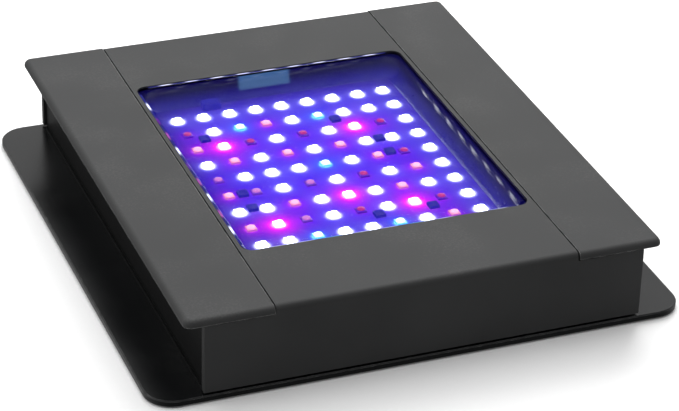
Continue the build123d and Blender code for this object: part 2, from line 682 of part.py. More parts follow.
def fan_frame():
    frame = block(-FAN_SIDE / 2, FAN_SIDE / 2, -FAN_SIDE / 2, FAN_SIDE / 2, FAN_Z0, FAN_Z1)
    frame = fillet(frame.edges().filter_by(Axis.Z), FAN_CORNER)
    frame = frame - rod(0, 0, FAN_Z0, FAN_Z1, FAN_BORE_R)
    for angle in (0, 90, 180, 270):
        strut = block(0, FAN_BORE_R + FAN_RIM / 2, -FAN_STRUT, FAN_STRUT, FAN_Z0, STRUT_Z1)
        frame = frame + Rot(0, 0, angle) * strut
    frame = frame + rod(0, 0, FAN_Z0, STRUT_Z1, FAN_HUB_R)
    frame = frame - rod(0, 0, FAN_Z0 + FAN_STRUT / 2, STRUT_Z1, BEARING_R)
    for x, y in FAN_SCREWS:
        frame = frame - rod(x, y, FAN_Z0, FAN_Z1, M3_R)
    return frame


def fan_bearing():
    """The sleeve that the shaft turns in, standing in the frame's middle."""
    sleeve = rod(0, 0, FAN_Z0 + FAN_STRUT / 2, HUB_TOP_Z - BEARING_HEAD, BEARING_R)
    return sleeve - rod(0, 0, FAN_Z0 + FAN_STRUT, HUB_TOP_Z - BEARING_HEAD, FAN_SHAFT_R)


def fan_coil():
    """The motor winding round the sleeve."""
    top_z = HUB_TOP_Z - COIL_HEAD
    coil = rod(0, 0, STRUT_Z1, top_z, COIL_R) - rod(0, 0, STRUT_Z1, top_z, BEARING_R)
    for angle in (0, 45, 90, 135):
        slot = block(-COIL_R - CUT, COIL_R + CUT, -COIL_SLOT / 2, COIL_SLOT / 2,
                     STRUT_Z1 + COIL_FOOT, HUB_TOP_Z)
        keep = rod(0, 0, STRUT_Z1, HUB_TOP_Z, BEARING_R + COIL_CORE)
        coil = coil - (Rot(0, 0, angle) * slot - keep)
    return coil


def fan_shaft():
    return rod(0, 0, FAN_Z0 + FAN_STRUT + 0.1, HUB_TOP_Z - HUB_SKIN, FAN_SHAFT_R - FAN_SHAFT_GAP)


def blade_section(radius, pitch):
    """A blade's cross-section at one distance from the shaft."""
    plane = Plane(origin=(radius, 0, (HUB_FOOT_Z + HUB_TOP_Z) / 2), x_dir=(0, 1, 0), z_dir=(1, 0, 0))
    return plane * Rot(0, 0, 90 - pitch) * RectangleRounded(BLADE_CHORD, BLADE_THICK, BLADE_ROUND)


def fan_rotor():
    """The hub cup with its blades."""
    cup = rod(0, 0, HUB_FOOT_Z, HUB_TOP_Z, FAN_HUB_R)
    cup = fillet(cup.faces().sort_by(Axis.Z)[-1].edges(), HUB_ROUND)
    blade = loft([blade_section(FAN_HUB_R - BLADE_ROOT, BLADE_ROOT_PITCH),
                  blade_section(BLADE_TIP_R, BLADE_TIP_PITCH)])
    ring = rod(0, 0, HUB_FOOT_Z, HUB_TOP_Z, BLADE_TIP_R)
    blade = blade & ring
    for i in range(FAN_BLADES):
        cup = cup + Rot(0, 0, i * 360 / FAN_BLADES) * blade
    return cup - rod(0, 0, HUB_FOOT_Z, HUB_TOP_Z - HUB_SKIN, FAN_HUB_R - HUB_SKIN)


save(fan_frame(), "fan_frame")
save(fan_bearing(), "fan_bearing")
save(fan_coil(), "fan_coil")
save(fan_shaft(), "fan_shaft")
save(fan_rotor(), "fan_rotor")

# ---------------------------------------------------------------- driver board
CHOKE_R = 4.6
CHOKE_HIGH = 7.0
CHOKE_YS = (-34.0, -20.0, -6.0, 8.0)
CAN_R = 4.0
CAN_HIGH = 10.0
CAN_YS = (22.0, 33.0)
DRIVER_CHIP = (5.0, 4.0, 1.4)
DRIVER_CHIP_YS = [(a + b) / 2 for a, b in zip(CHOKE_YS, CHOKE_YS[1:])]
DRIVER_PART_X = DRIVER_X + 1.2
CHOKE_CORE_R = 3.956
CHOKE_RIM = 1.4
CAN_ROUND = 0.7


def driver_board():
    board = block(DRIVER_X - DRIVER_WIDTH / 2, DRIVER_X + DRIVER_WIDTH / 2,
                  -DRIVER_LENGTH / 2, DRIVER_LENGTH / 2, DRIVER_Z, DRIVER_TOP_Z)
    for x, y in DRIVER_SPACERS:
        board = board - rod(x, y, DRIVER_Z, DRIVER_TOP_Z, M3_CLEAR_R)
    return board


def drum(x, y):
    """A wound choke: a waisted drum."""
    z0 = DRIVER_TOP_Z
    z1 = z0 + CHOKE_HIGH
    core = rod(x, y, z0, z1, CHOKE_CORE_R)
    return core + rod(x, y, z0, z0 + CHOKE_RIM, CHOKE_R) + rod(x, y, z1 - CHOKE_RIM, z1, CHOKE_R)


def can(x, y):
    """A can capacitor with a rounded shoulder."""
    body = rod(x, y, DRIVER_TOP_Z, DRIVER_TOP_Z + CAN_HIGH, CAN_R)
    return fillet(body.faces().sort_by(Axis.Z)[-1].edges(), CAN_ROUND)


def chip(x, y):
    wide, long, high = DRIVER_CHIP
    return block(x - wide / 2, x + wide / 2, y - long / 2, y + long / 2, DRIVER_TOP_Z, DRIVER_TOP_Z + high)


def terminal(y):
    """A two-way terminal block with a funnel over each screw."""
    x0 = DRIVER_X - TERMINAL_WIDE / 2
    body = block(x0, x0 + TERMINAL_WIDE, y - TERMINAL_LONG / 2, y + TERMINAL_LONG / 2,
                 DRIVER_TOP_Z, DRIVER_TOP_Z + TERMINAL_HIGH)
    for side in (-1, 1):
        x = DRIVER_X + side * TERMINAL_WIDE / 4
        top_z = DRIVER_TOP_Z + TERMINAL_HIGH
        body = body - rod(x, y, top_z - TERMINAL_WELL_DEEP, top_z, TERMINAL_WELL_R)
    return body


def driver_spacers():
    spacers = []
    for x, y in DRIVER_SPACERS:
        spacer = rod(x, y, PLATE_THICK, DRIVER_Z, DRIVER_SPACER_R)
        spacers.append(spacer - rod(x, y, PLATE_THICK, DRIVER_Z, M3_R))
    return group(spacers)


DRIVER_SCREW_LENGTH = DRIVER_THICK + 0.9

save(driver_board(), "driver_board")
save(driver_spacers(), "driver_spacers")
save(group(pan_screw(x, y, DRIVER_TOP_Z, DRIVER_SCREW_LENGTH) for x, y in DRIVER_SPACERS), "driver_screws")
save(group(drum(DRIVER_PART_X, y) for y in CHOKE_YS), "driver_chokes")
save(group(can(DRIVER_PART_X, y) for y in CAN_YS), "driver_capacitors")
save(group(chip(DRIVER_PART_X, y) for y in DRIVER_CHIP_YS), "driver_chips")
save(group(terminal(y) for y in TERMINAL_YS), "driver_terminals")


# ---------------------------------------------------------------- power inlet
def along_y(y0, y1, r):
    """A cylinder on the inlet's axis between two places along Y."""
    plane = Plane(origin=(INLET_X, y0, INLET_Z), x_dir=(1, 0, 0), z_dir=(0, 1, 0))
    return extrude(plane * Circle(r), y1 - y0)


def power_inlet():
    """A round socket through the back wall, with the pin in its middle."""
    face_y = PLATE_DEPTH / 2
    body = along_y(WALL_FRONT_Y - INLET_LENGTH, WALL_FRONT_Y, INLET_R)
    body = body + along_y(WALL_FRONT_Y, face_y, INLET_FLANGE_R)
    body = body - along_y(face_y - INLET_SOCKET_DEEP, face_y, INLET_SOCKET_R)
    return body + along_y(face_y - INLET_SOCKET_DEEP, face_y - INLET_PIN_INSET, INLET_PIN_R)


def inlet_nut():
    plane = Plane(origin=(INLET_X, WALL_INNER_Y - INLET_NUT_HIGH, INLET_Z), x_dir=(1, 0, 0), z_dir=(0, 1, 0))
    ring = plane * RegularPolygon(INLET_NUT_FLATS / 2, 6, major_radius=False)
    return extrude(ring, INLET_NUT_HIGH) - along_y(WALL_INNER_Y - INLET_NUT_HIGH, WALL_INNER_Y, INLET_R)


save(power_inlet(), "power_inlet")
save(inlet_nut(), "inlet_nut")


# ---------------------------------------------------------------- wires inside the housing
def wire(points, bend, r):
    """A round wire along straight runs joined by arcs."""
    path = FilletPolyline(*points, radius=bend)
    start = Plane(origin=path @ 0, z_dir=path % 0)
    return sweep(start * Circle(r), path=path)


def led_leads():
    """Two wires from the light board's plug block down into the driver's back terminal."""
    wires = []
    for side in (-1, 1):
        y = CONNECTOR_Y
        x = DRIVER_X + side * TERMINAL_WIDE / 4
        z = LED_FOOT_Z + CONNECTOR_HIGH / 2 + side * LED_LEAD_STEP
        end_z = DRIVER_TOP_Z + TERMINAL_HIGH - TERMINAL_WELL_DEEP
        wires.append(wire([(BOARD_HALF_X, y, z), (x, y, z), (x, y, end_z)], LED_LEAD_BEND, LED_LEAD_R))
    return group(wires)


def power_leads():
    """Two wires from the inlet to the driver's back terminal."""
    wires = []
    start_y = WALL_FRONT_Y - INLET_LENGTH
    end_y = TERMINAL_YS[1] + TERMINAL_LONG / 2
    end_z = DRIVER_TOP_Z + POWER_LEAD_HIGH
    run = (start_y - end_y) / 3
    for side in (-1, 1):
        x = INLET_X + side * POWER_LEAD_STEP
        points = [(x, start_y, INLET_Z), (x, start_y - run, INLET_Z),
                  (x, end_y + run, end_z), (x, end_y, end_z)]
        wires.append(wire(points, POWER_LEAD_BEND, POWER_LEAD_R))
    return group(wires)


def fan_lead():
    """The fan's lead: along a gap between fins, past their ends and back to the front terminal."""
    x = FIN_FIRST_X + (FIN_COUNT // 2 + 1.5) * FIN_STEP + FIN_THICK / 2
    y = -SINK_HALF_Y - FAN_LEAD_PAST
    z = PLATE_THICK + FAN_LEAD_HIGH
    end_y = TERMINAL_YS[0] - TERMINAL_LONG / 2
    points = [(x, -FAN_SIDE / 2, z), (x, y, z), (DRIVER_X, y, z), (DRIVER_X, end_y, z)]
    return wire(points, FAN_LEAD_BEND, FAN_LEAD_R)


save(led_leads(), "led_leads")
save(power_leads(), "power_leads")
save(fan_lead(), "fan_lead")
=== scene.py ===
# %% [markdown]
# # A flat LED light for an aquarium
#
# The real lamp is a low black metal box on a glossy mounting plate. A square of 81 coloured LEDs shines out
# of a window in its top. Two broad wings, bent from the same grey sheet as the centre cover, hang over the
# sides. This notebook dresses the imported CAD model: it adds the camera and the studio, gives every piece a
# finish made of nodes, and builds the light board that the CAD only blocks in, with the LEDs' light painted
# on it.

# %% Load the imported model
import math

import bpy
import numpy as np
from mathutils import Matrix, Vector


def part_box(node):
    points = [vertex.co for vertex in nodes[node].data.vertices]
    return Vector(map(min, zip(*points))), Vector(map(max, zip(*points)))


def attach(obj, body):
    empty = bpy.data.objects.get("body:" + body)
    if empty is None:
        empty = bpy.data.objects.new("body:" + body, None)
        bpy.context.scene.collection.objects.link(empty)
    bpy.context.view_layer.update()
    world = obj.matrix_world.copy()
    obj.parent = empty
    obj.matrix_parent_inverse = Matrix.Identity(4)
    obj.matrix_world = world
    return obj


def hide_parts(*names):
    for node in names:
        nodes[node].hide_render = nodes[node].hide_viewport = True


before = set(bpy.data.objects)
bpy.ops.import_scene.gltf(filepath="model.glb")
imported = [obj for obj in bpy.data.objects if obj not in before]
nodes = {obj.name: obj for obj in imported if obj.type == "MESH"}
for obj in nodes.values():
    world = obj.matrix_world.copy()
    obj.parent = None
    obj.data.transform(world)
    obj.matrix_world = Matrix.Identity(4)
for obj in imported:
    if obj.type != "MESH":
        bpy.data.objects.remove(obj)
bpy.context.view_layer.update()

MM = 0.001
print("pieces in the packed model:", len(nodes))

# %% [markdown]
# ## Camera
#
# A product shot of a small lamp is taken with a long lens from about a metre away, so that the sides stay
# nearly parallel. The camera stands in front and to the left, looks down at thirty degrees, and is rolled a
# little to the side. Writing it as an aim, a distance and three angles keeps it easy to move.

# %% Camera
AIM = Vector((-0.9, -17.2, 15.75)) * MM
DISTANCE = 990.8 * MM
TURN = math.radians(21.475)      # to the left of straight in front
TILT = math.radians(29.638)      # down from level
ROLL = math.radians(1.627)
LENS = 147.87                    # millimetres, on a sensor 36 wide

ahead = Vector((math.sin(TURN) * math.cos(TILT), math.cos(TURN) * math.cos(TILT), -math.sin(TILT)))
camera = bpy.data.objects.new("camera", bpy.data.cameras.new("camera"))
camera.data.lens = LENS
camera.data.sensor_fit = "HORIZONTAL"
camera.data.sensor_width = 36.0
camera.data.clip_start = 0.05
camera.data.clip_end = 50.0
camera.matrix_world = (Matrix.Translation(AIM - ahead * DISTANCE)
                       @ ahead.to_track_quat("-Z", "Y").to_matrix().to_4x4()
                       @ Matrix.Rotation(ROLL, 4, "Z"))
bpy.context.scene.collection.objects.link(camera)
bpy.context.scene.camera = camera
bpy.context.scene.view_settings.view_transform = "Standard"
print("camera stands at", [round(value / MM) for value in camera.matrix_world.translation], "mm")

# %% [markdown]
# ## Node helpers
#
# Every finish below is a small tree of shader nodes. A few short helpers keep the trees readable: one adds a
# node and fills in its settings, one joins two sockets, and one makes a node group with named inputs.

# %% Node helpers
def add(tree, kind, inputs=None, **settings):
    """A new node, with its settings, and with numbers or links for its inputs."""
    node = tree.nodes.new(kind)
    for name, value in settings.items():
        setattr(node, name, value)
    for name, value in (inputs or {}).items():
        feed(tree, value, node.inputs[name])
    return node


def feed(tree, value, socket):
    """Put a number, a colour or another node's output into a socket."""
    if isinstance(value, bpy.types.NodeSocket):
        tree.links.new(value, socket)
    else:
        socket.default_value = value


def sums(tree, operation, *values, clamp=False):
    """One Math node, and its output."""
    node = add(tree, "ShaderNodeMath", operation=operation, use_clamp=clamp)
    for slot, value in enumerate(values):
        feed(tree, value, node.inputs[slot])
    return node.outputs[0]


def ranged(tree, value, low, high, to_low=0.0, to_high=1.0, smooth=False):
    """A Map Range node's output: value from low..high to to_low..to_high."""
    node = add(tree, "ShaderNodeMapRange", interpolation_type="SMOOTHSTEP" if smooth else "LINEAR")
    for name, number in (("Value", value), ("From Min", low), ("From Max", high),
                         ("To Min", to_low), ("To Max", to_high)):
        feed(tree, number, node.inputs[name])
    return node.outputs["Result"]


def mixed(tree, share, first, second, blend="MIX"):
    """A colour Mix node's output."""
    node = add(tree, "ShaderNodeMix", data_type="RGBA", blend_type=blend)
    feed(tree, share, node.inputs["Factor"])
    feed(tree, first, node.inputs["A"])
    feed(tree, second, node.inputs["B"])
    return node.outputs["Result"]


def new_group(name, inputs, outputs):
    """A shader node group with named number inputs and outputs: (tree, its inputs, its output node)."""
    tree = bpy.data.node_groups.new(name, "ShaderNodeTree")
    for label, value in inputs.items():
        socket = tree.interface.new_socket(label, in_out="INPUT", socket_type="NodeSocketFloat")
        socket.default_value = value
    for label in outputs:
        tree.interface.new_socket(label, in_out="OUTPUT", socket_type="NodeSocketFloat")
    entry, exit_node = tree.nodes.new("NodeGroupInput"), tree.nodes.new("NodeGroupOutput")
    return tree, entry.outputs, exit_node


def place(tree, group, **values):
    """A group node with its own values, named in words with underscores for spaces."""
    node = add(tree, "ShaderNodeGroup", node_tree=group)
    for label, value in values.items():
        feed(tree, value, node.inputs[label.replace("_", " ").capitalize()])
    return node.outputs


# %% [markdown]
# ## Shared effects
#
# Powder coat, bead blasting and cast surfaces all have a fine grain with slow clouds of lighter and darker
# tone over it. Cut edges turn lighter where the finish wears thin; on the wings that light edge is also a
# painted highlight. Dust settles on what faces up. Each of these is one node group that every material can
# use with its own values.

# %% Grain
grain_group, given, given_out = new_group(
    "grain", {"Fine size": 0.5 * MM, "Broad size": 25 * MM, "Stretch": 1.0}, ("Fine", "Broad"))
where = add(grain_group, "ShaderNodeTexCoord").outputs["Object"]
pull = add(grain_group, "ShaderNodeCombineXYZ", {"X": given["Stretch"], "Y": 1.0, "Z": 1.0})
along = add(grain_group, "ShaderNodeVectorMath", {0: where, 1: pull.outputs[0]}, operation="MULTIPLY")
for label, detail, rough in (("Fine", 3.0, 0.6), ("Broad", 4.0, 0.55)):
    scale = sums(grain_group, "DIVIDE", 1.0, given[label + " size"])
    noise = add(grain_group, "ShaderNodeTexNoise",
                {"Vector": along.outputs[0], "Scale": scale, "Detail": detail, "Roughness": rough})
    feed(grain_group, noise.outputs[0], given_out.inputs[label])
print("node group:", grain_group.name)

# %% Edges: wear and painted highlight
edge_wear_and_highlight_group, given, given_out = new_group("edge wear and painted highlight", {"Width": 0.4 * MM, "Breakup": 3 * MM}, ("Mask",))
soft = add(edge_wear_and_highlight_group, "ShaderNodeBevel", {"Radius": given["Width"]}, samples=4)
hard = add(edge_wear_and_highlight_group, "ShaderNodeNewGeometry").outputs["Normal"]
likeness = add(edge_wear_and_highlight_group, "ShaderNodeVectorMath", {0: soft.outputs[0], 1: hard}, operation="DOT_PRODUCT")
edge = ranged(edge_wear_and_highlight_group, likeness.outputs["Value"], 0.985, 0.80)
where = add(edge_wear_and_highlight_group, "ShaderNodeTexCoord").outputs["Object"]
patches = add(edge_wear_and_highlight_group, "ShaderNodeTexNoise",
              {"Vector": where, "Scale": sums(edge_wear_and_highlight_group, "DIVIDE", 1.0, given["Breakup"]), "Detail": 4.0})
uneven = ranged(edge_wear_and_highlight_group, patches.outputs[0], 0.35, 0.65)
feed(edge_wear_and_highlight_group, sums(edge_wear_and_highlight_group, "MULTIPLY", edge, uneven, clamp=True), given_out.inputs["Mask"])
print("node group:", edge_wear_and_highlight_group.name)

# %% Dust
dust_group, given, given_out = new_group("dust", {"Speck size": 0.7 * MM, "Cover": 0.5}, ("Mask",))
up = add(dust_group, "ShaderNodeSeparateXYZ",
         {0: add(dust_group, "ShaderNodeNewGeometry").outputs["Normal"]}).outputs["Z"]
where = add(dust_group, "ShaderNodeTexCoord").outputs["Object"]
specks = add(dust_group, "ShaderNodeTexNoise", {
    "Vector": where, "Scale": sums(dust_group, "DIVIDE", 1.0, given["Speck size"]), "Detail": 5.0})
drift = add(dust_group, "ShaderNodeTexNoise", {"Vector": where, "Scale": 35.0, "Detail": 3.0})
lying = sums(dust_group, "MULTIPLY", ranged(dust_group, up, 0.4, 0.95), ranged(
    dust_group, sums(dust_group, "MULTIPLY", specks.outputs[0], drift.outputs[0]), 0.27, 0.42))
feed(dust_group, sums(dust_group, "MULTIPLY", lying, given["Cover"]), given_out.inputs["Mask"])
print("node group:", dust_group.name)

# %% [markdown]
# ## One recipe for solid finishes
#
# Most pieces differ only in numbers: two tones, a range of roughness, how deep the grain is, what colour
# shows where an edge wears, which on the wings is also a painted highlight. So one function builds the tree,
# and each finish is a call with its own values. Plain numbers such as the coat or the specular level are set
# on the Principled shader itself.

# %% Solid finishes
def finish(name, dark, light, rough, grain=(0.5, 25.0, 1.0), bump=0.1, depth=0.02, edge=None, dust=0.0,
           metal=0.0, lit=None, **shader):
    """A material: two tones mixed by slow clouds, grain in the roughness and surface, lighter edges from wear
    that on the wings are also a painted highlight, dust, and a painted glow where lit is given.
    """
    material = bpy.data.materials.new(name)
    material.use_nodes = True
    tree = material.node_tree
    principled = tree.nodes["Principled BSDF"]
    fine, broad, stretch = grain
    clouds = place(tree, grain_group, fine_size=fine * MM, broad_size=broad * MM, stretch=stretch)
    tone = sums(tree, "ADD", sums(tree, "MULTIPLY", clouds["Broad"], 0.65),
                sums(tree, "MULTIPLY", clouds["Fine"], 0.35))
    colour = mixed(tree, ranged(tree, tone, 0.35, 0.65), (*dark, 1.0), (*light, 1.0))
    roughness = ranged(tree, tone, 0.35, 0.65, rough[0], rough[1])
    metallic = metal
    if edge:
        bare_and_highlight_tone, width, amount, bare_metal = edge
        # The lighter edge tone is wear, and on the wings also a painted highlight along the cut edge.
        edge_wear_and_highlight = sums(tree, "MULTIPLY", place(tree, edge_wear_and_highlight_group, width=width * MM)["Mask"], amount)
        colour = mixed(tree, edge_wear_and_highlight, colour, (*bare_and_highlight_tone, 1.0))
        if bare_metal != metal:
            metallic = ranged(tree, edge_wear_and_highlight, 0.0, 1.0, metal, bare_metal)
    if dust:
        lying = place(tree, dust_group, cover=dust)["Mask"]
        colour = mixed(tree, lying, colour, (0.42, 0.41, 0.39, 1.0))
        roughness = sums(tree, "ADD", roughness, sums(tree, "MULTIPLY", lying, 0.4), clamp=True)
    feed(tree, colour, principled.inputs["Base Color"])
    feed(tree, roughness, principled.inputs["Roughness"])
    feed(tree, metallic, principled.inputs["Metallic"])
    if bump:
        relief = add(tree, "ShaderNodeBump",
                     {"Strength": bump, "Distance": depth * MM, "Height": clouds["Fine"]})
        feed(tree, relief.outputs[0], principled.inputs["Normal"])
    # A lit pair of tones is a painted glow, set as emission.
    if lit:
        feed(tree, mixed(tree, ranged(tree, tone, 0.35, 0.65), (*lit[0], 1.0), (*lit[1], 1.0)),
             principled.inputs["Emission Color"])
        principled.inputs["Emission Strength"].default_value = 1.0
    for label, value in shader.items():
        principled.inputs[label.replace("_", " ")].default_value = value
    return material


def grey(value, warm=0.0):
    """A neutral colour, a little warm or cool."""
    return (value * (1 + warm), value, value * (1 - warm))


sheet_tones = dict(dark=grey(0.026, -0.015), light=grey(0.033, -0.015), rough=(0.46, 0.54), bump=0.25,
                   grain=(0.45, 30.0, 1.0), dust=0.04, Specular_IOR_Level=0.30)
finishes = {
    # The wing's light edge is wear and also a painted highlight along its cut edge.
    "wing_sheet": finish("satin grey wing", edge=(grey(0.40), 0.35, 0.8, 0.0), **sheet_tones),
    "cover_sheet": finish("satin grey cover", edge=(grey(0.16), 0.3, 0.4, 0.0), **sheet_tones),
    "rail": finish("black rail", grey(0.0028, -0.05), grey(0.0048, -0.05), (0.40, 0.50),
                   Specular_IOR_Level=0.10,
                   grain=(0.4, 20.0, 1.0), bump=0.15, edge=(grey(0.10), 0.3, 0.3, 0.0)),
    "plate_gloss": finish("gloss black plate", grey(0.0030, -0.10), grey(0.0050, -0.10), (0.20, 0.27),
                          grain=(0.8, 40.0, 1.0), bump=0.02, edge=(grey(0.30), 0.3, 0.6, 0.0), dust=0.02,
                          Specular_IOR_Level=0.36),
    "bracket": finish("zinc plated bracket", (0.50, 0.49, 0.46), (0.62, 0.61, 0.58), (0.28, 0.42),
                      grain=(0.8, 12.0, 4.0), metal=1.0, edge=(grey(0.75), 0.4, 0.5, 1.0)),
    "zinc": finish("zinc plated screw", (0.52, 0.51, 0.48), (0.66, 0.65, 0.62), (0.22, 0.36),
                   grain=(0.3, 4.0, 1.0), metal=1.0, edge=(grey(0.8), 0.15, 0.6, 1.0)),
    "black_screw": finish("black oxide screw", grey(0.018), grey(0.032), (0.34, 0.48),
                          grain=(0.25, 3.0, 1.0), metal=0.6, edge=(grey(0.25), 0.12, 0.6, 1.0)),
    "gasket": finish("foam rubber gasket", grey(0.012), grey(0.022), (0.75, 0.9), grain=(0.3, 6.0, 1.0),
                     bump=0.6, depth=0.05),
    "board": finish("board laminate", (0.010, 0.014, 0.030), (0.016, 0.020, 0.045), (0.35, 0.5),
                    grain=(0.3, 10.0, 1.0), bump=0.2),
    "pad": finish("thermal pad", (0.20, 0.24, 0.33), (0.26, 0.30, 0.40), (0.7, 0.85), grain=(0.6, 8.0, 1.0),
                  bump=0.5, depth=0.05),
    "sink": finish("extruded aluminium", (0.62, 0.63, 0.64), (0.74, 0.75, 0.76), (0.30, 0.42),
                   grain=(0.25, 15.0, 14.0), bump=0.2, metal=1.0, edge=(grey(0.85), 0.25, 0.5, 1.0)),
    "connector": finish("connector nylon", (0.55, 0.53, 0.47), (0.66, 0.64, 0.58), (0.4, 0.55),
                        grain=(0.3, 5.0, 1.0), bump=0.2),
    "driver_pcb": finish("green circuit board", (0.010, 0.070, 0.030), (0.018, 0.105, 0.045), (0.25, 0.4),
                         grain=(0.5, 8.0, 3.0), bump=0.3),
    "choke": finish("ferrite choke", grey(0.035), grey(0.06), (0.45, 0.65), grain=(0.3, 4.0, 1.0), bump=0.5),
    "can": finish("capacitor sleeve", (0.012, 0.02, 0.07), (0.02, 0.035, 0.11), (0.25, 0.4),
                  grain=(0.4, 6.0, 1.0), bump=0.15),
    "terminal": finish("terminal plastic", (0.02, 0.14, 0.05), (0.03, 0.20, 0.08), (0.4, 0.55),
                       grain=(0.4, 5.0, 1.0), bump=0.2),
    "black_plastic": finish("moulded black plastic", grey(0.012), grey(0.020), (0.38, 0.55),
                            grain=(0.25, 8.0, 1.0), bump=0.35, edge=(grey(0.05), 0.3, 0.5, 0.0), dust=0.15),
    "copper": finish("copper winding", (0.55, 0.20, 0.09), (0.75, 0.32, 0.16), (0.22, 0.35),
                     grain=(0.25, 3.0, 1.0), metal=1.0),
    "steel": finish("ground steel", grey(0.52), grey(0.64), (0.16, 0.28), grain=(0.15, 5.0, 6.0), metal=1.0),
    "bronze": finish("sintered bronze", (0.40, 0.25, 0.11), (0.52, 0.34, 0.16), (0.35, 0.5),
                     grain=(0.15, 2.0, 1.0), metal=1.0),
    "wire": finish("black wire insulation", grey(0.014), grey(0.024), (0.4, 0.55), grain=(0.4, 8.0, 1.0)),
    "led_wire": finish("red wire insulation", (0.30, 0.012, 0.010), (0.42, 0.022, 0.016), (0.35, 0.5),
                       grain=(0.4, 8.0, 1.0)),
}
print("finishes:", len(finishes))

# %% [markdown]
# ## The lens
#
# The window is a clear acrylic sheet. A shader that bends light by acrylic's index shows the board a little
# higher than it is, as a real window does. The sheet is coated against reflections, because a tank light
# must not waste light, so only a small share of a mirror is mixed in.

# %% Lens
def clear_sheet(name, bend, gloss):
    """Clear plastic: a shader that bends light, and a thin share of one that mirrors it."""
    material = bpy.data.materials.new(name)
    material.use_nodes = True
    tree = material.node_tree
    tree.nodes.remove(tree.nodes["Principled BSDF"])
    clouds = place(tree, grain_group, fine_size=0.9 * MM, broad_size=30 * MM)
    tint = mixed(tree, clouds["Broad"], (0.95, 0.97, 1.0, 1.0), (0.99, 0.99, 1.0, 1.0))
    through = add(tree, "ShaderNodeBsdfRefraction", {"Color": tint, "Roughness": 0.0, "IOR": bend})
    smears = ranged(tree, clouds["Broad"], 0.3, 0.7, 0.02, 0.12)
    mirror = add(tree, "ShaderNodeBsdfAnisotropic", {"Color": (1.0, 1.0, 1.0, 1.0), "Roughness": smears})
    share = sums(tree, "MULTIPLY", add(tree, "ShaderNodeFresnel", {"IOR": bend}).outputs[0], gloss)
    both = add(tree, "ShaderNodeMixShader", {0: share, 1: through.outputs[0], 2: mirror.outputs[0]})
    feed(tree, both.outputs[0], tree.nodes["Material Output"].inputs["Surface"])
    return material


finishes["lens"] = clear_sheet("clear acrylic", 1.49, 0.02)
print("lens finish:", finishes["lens"].name)

# %% [markdown]
# ## Inside the light box
#
# The wall round the board is one gloss black cove, curved from the board up to the lens. It mirrors only a
# tenth of the LEDs: each one shows as a pale spark. The blue light from the board on its foot is a painted
# glow that fades towards the lens, mixed by height, and a pale area on the back wall is a painted reflection
# of the LEDs.

# %% Finishes in the light box
finishes["reflector"] = finish(
    "gloss cove with painted glow and reflection", (0.002, 0.002, 0.010), (0.003, 0.003, 0.016), (0.07, 0.12), bump=0.02,
    grain=(0.8, 14.0, 1.0), lit=((0.0, 0.0, 0.0), (0.0, 0.0, 0.0)), Specular_IOR_Level=0.09)
GLOW_HIGH = 5 * MM                                 # the painted blue glow fades over this height
PAINTED_REFLECTION_LEFT, PAINTED_REFLECTION_RIGHT = -12 * MM, 8 * MM         # a painted reflection of the LEDs: the pale area at the back
PAINTED_REFLECTION_SOFT = 1 * MM
PAINTED_REFLECTION_FOOT, PAINTED_REFLECTION_RISE = 1.9 * MM, 0.8 * MM        # where it starts above the board, and how softly
PAINTED_REFLECTION_BEHIND = 4.3 * MM                            # from the lens's back edge forward to its foot
foot_z, back_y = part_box("light_reflector")[0].z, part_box("window_lens")[1].y - PAINTED_REFLECTION_BEHIND

# Painted light on the cove: a dark blue glow that fades with height, and a pale area at the back standing for
# the LEDs' reflection.
tree = finishes["reflector"].node_tree
spot = add(tree, "ShaderNodeSeparateXYZ", {0: add(tree, "ShaderNodeTexCoord").outputs["Object"]}).outputs
climb = ranged(tree, spot["Z"], foot_z, foot_z + GLOW_HIGH, smooth=True)
navy = mixed(tree, climb, (0.010, 0.005, 0.24, 1.0), (0.003, 0.002, 0.050, 1.0))
sides = sums(tree, "MULTIPLY",
             ranged(tree, spot["X"], PAINTED_REFLECTION_LEFT - PAINTED_REFLECTION_SOFT, PAINTED_REFLECTION_LEFT + PAINTED_REFLECTION_SOFT, smooth=True),
             ranged(tree, spot["X"], PAINTED_REFLECTION_RIGHT + PAINTED_REFLECTION_SOFT, PAINTED_REFLECTION_RIGHT - PAINTED_REFLECTION_SOFT, smooth=True))
band = sums(tree, "MULTIPLY", ranged(tree, spot["Y"], back_y, back_y + PAINTED_REFLECTION_SOFT / 2),
            ranged(tree, spot["Z"], foot_z + PAINTED_REFLECTION_FOOT, foot_z + PAINTED_REFLECTION_FOOT + PAINTED_REFLECTION_RISE, smooth=True))
patch = sums(tree, "MULTIPLY", sides, band, clamp=True)
feed(tree, mixed(tree, patch, navy, (0.045, 0.11, 0.26, 1.0)),
     tree.nodes["Principled BSDF"].inputs["Emission Color"])
# The chip's blue glow is painted light from the board; the chip is no lamp.
finishes["chip"] = finish(
    "chip moulding with painted blue glow", (0.006, 0.006, 0.016), (0.012, 0.012, 0.028), (0.45, 0.6), bump=0.4,
    grain=(0.3, 2.0, 1.0),
    lit=((0.006, 0.003, 0.30), (0.014, 0.005, 0.42)), Specular_IOR_Level=0.02)
print("finishes:", len(finishes))

# %% [markdown]
# ## Where the LEDs stand
#
# The CAD has one node for each LED colour. Each LED's place is read from those nodes: every corner of the
# mesh belongs to the nearest crossing of a 9 by 9 grid, so the set of crossings is the set of LEDs.

# %% LED places
LED_KINDS = ("white_leds", "pink_leds", "violet_leds", "deep_red_leds", "red_leds", "cyan_leds")
ROWS = 9
low = np.min([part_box(name)[0] for name in LED_KINDS], axis=0)
high = np.max([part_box(name)[1] for name in LED_KINDS], axis=0)
foot, top = low[2], high[2]
side = 3.5 * MM
pitch = (high[:2] - low[:2] - side) / (ROWS - 1)


